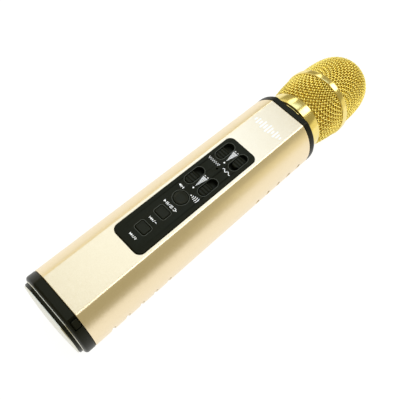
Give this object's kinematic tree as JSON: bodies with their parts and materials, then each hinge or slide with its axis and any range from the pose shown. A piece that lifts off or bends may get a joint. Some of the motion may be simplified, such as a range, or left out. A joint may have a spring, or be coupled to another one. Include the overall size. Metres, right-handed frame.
{
  "type": "karaoke microphone",
  "caption": "Cordless handheld karaoke microphone: round-backed gold body with a flat front, key and slider panel, speaker slots, and a woven ball head that unscrews.",
  "frame": {"origin": "centre of the bounding box's bottom face, on the surface the microphone lies on", "axes": "+X along the microphone towards the tip of the head, +Z out of the control panel, +Y across the panel"},
  "size_m": [0.2804, 0.0536, 0.0528],
  "materials": {
    "champagne_aluminium": "bead-blasted champagne gold anodising, satin with a fine sparkle",
    "gold_plate": "polished gold anodising",
    "gold_mesh": "woven wire, bright gold",
    "black_plastic": "moulded, satin",
    "panel_black": "moulded, semi-gloss",
    "button_black": "moulded, satin",
    "brushed_silver": "brushed",
    "plated_steel": "plated",
    "board_green": "solder mask",
    "inner_plastic": "moulded, dull",
    "foam": "open-cell foam",
    "rubber": "moulded",
    "cell_wrap": "plastic shrink wrap",
    "cone_paper": "paper and acoustic cloth",
    "led_lens": "frosted",
    "white_print": "printed marks"
  },
  "bodies": {
    "housing": {"body_sleeve": "champagne_aluminium", "control_panel": "panel_black", "top_collar": "black_plastic", "bottom_cap": "black_plastic", "foot_plate": "black_plastic", "end_disc": "brushed_silver", "lanyard_bar": "black_plastic", "cap_screw_1": "plated_steel", "cap_screw_2": "plated_steel", "collar_screw_1": "plated_steel", "collar_screw_2": "plated_steel", "collar_screw_3": "plated_steel", "threaded_neck": "inner_plastic", "capsule_post": "inner_plastic", "capsule_cradle": "rubber", "microphone_capsule": "plated_steel", "inner_chassis": "inner_plastic", "battery_cell": "cell_wrap", "control_board": "board_green", "main_board": "board_green", "board_screw_1": "plated_steel", "board_screw_2": "plated_steel", "board_screw_3": "plated_steel", "board_screw_4": "plated_steel", "amplifier_chip": "inner_plastic", "wireless_module": "plated_steel", "charging_socket": "plated_steel", "status_led": "led_lens", "next_switch": "inner_plastic", "previous_switch": "inner_plastic", "mode_switch": "inner_plastic", "treble_pot": "plated_steel", "bass_pot": "plated_steel", "mic_pot": "plated_steel", "echo_pot": "plated_steel", "lower_speaker_frame": "plated_steel", "lower_speaker_cone": "cone_paper", "lower_speaker_magnet": "plated_steel", "lower_grille_cloth": "cone_paper", "upper_speaker_frame": "plated_steel", "upper_speaker_cone": "cone_paper", "upper_speaker_magnet": "plated_steel", "upper_grille_cloth": "cone_paper"},
    "washer": {"head_washer": "rubber"},
    "head": {"head_base_ring": "gold_plate", "lower_basket": "gold_mesh", "band_ring": "gold_plate", "upper_dome": "gold_mesh", "foam_windscreen": "foam"},
    "next_key": {"next_button": "button_black", "next_plunger": "plated_steel"},
    "previous_key": {"previous_button": "button_black", "previous_plunger": "plated_steel"},
    "mode_key": {"mode_button": "button_black", "mode_plunger": "plated_steel"},
    "treble_knob": {"treble_slider": "button_black"},
    "bass_knob": {"bass_slider": "button_black"},
    "mic_knob": {"mic_slider": "button_black"},
    "echo_knob": {"echo_slider": "button_black"}
  },
  "joints": [
    {"name": "head_lift", "type": "slide", "parent": "housing", "child": "washer", "axis": [1, 0, 0], "range_m": [0, 0.0026]},
    {"name": "head_turn", "type": "hinge", "parent": "washer", "child": "head", "pos_m": [0.0628, 0, 0.0265], "axis": [1, 0, 0], "range_deg": [0, 720]},
    {"name": "next_press", "type": "slide", "parent": "housing", "child": "next_key", "axis": [0, 0, -1], "range_m": [0, 0.0005], "stiffness_N_per_m": 1500, "springref_m": -0.0005},
    {"name": "previous_press", "type": "slide", "parent": "housing", "child": "previous_key", "axis": [0, 0, -1], "range_m": [0, 0.0005], "stiffness_N_per_m": 1500, "springref_m": -0.0005},
    {"name": "mode_press", "type": "slide", "parent": "housing", "child": "mode_key", "axis": [0, 0, -1], "range_m": [0, 0.0005], "stiffness_N_per_m": 1500, "springref_m": -0.0005},
    {"name": "treble_slide", "type": "slide", "parent": "housing", "child": "treble_knob", "axis": [1, 0, 0], "range_m": [0, 0.003]},
    {"name": "bass_slide", "type": "slide", "parent": "housing", "child": "bass_knob", "axis": [1, 0, 0], "range_m": [-0.0026, 0.0004]},
    {"name": "mic_slide", "type": "slide", "parent": "housing", "child": "mic_knob", "axis": [1, 0, 0], "range_m": [0, 0.003]},
    {"name": "echo_slide", "type": "slide", "parent": "housing", "child": "echo_knob", "axis": [1, 0, 0], "range_m": [0, 0.003]}
  ],
  "couplings": [
    {"joint": "head_lift", "follows": "head_turn", "m_per_rad": 0.00019894}
  ]
}
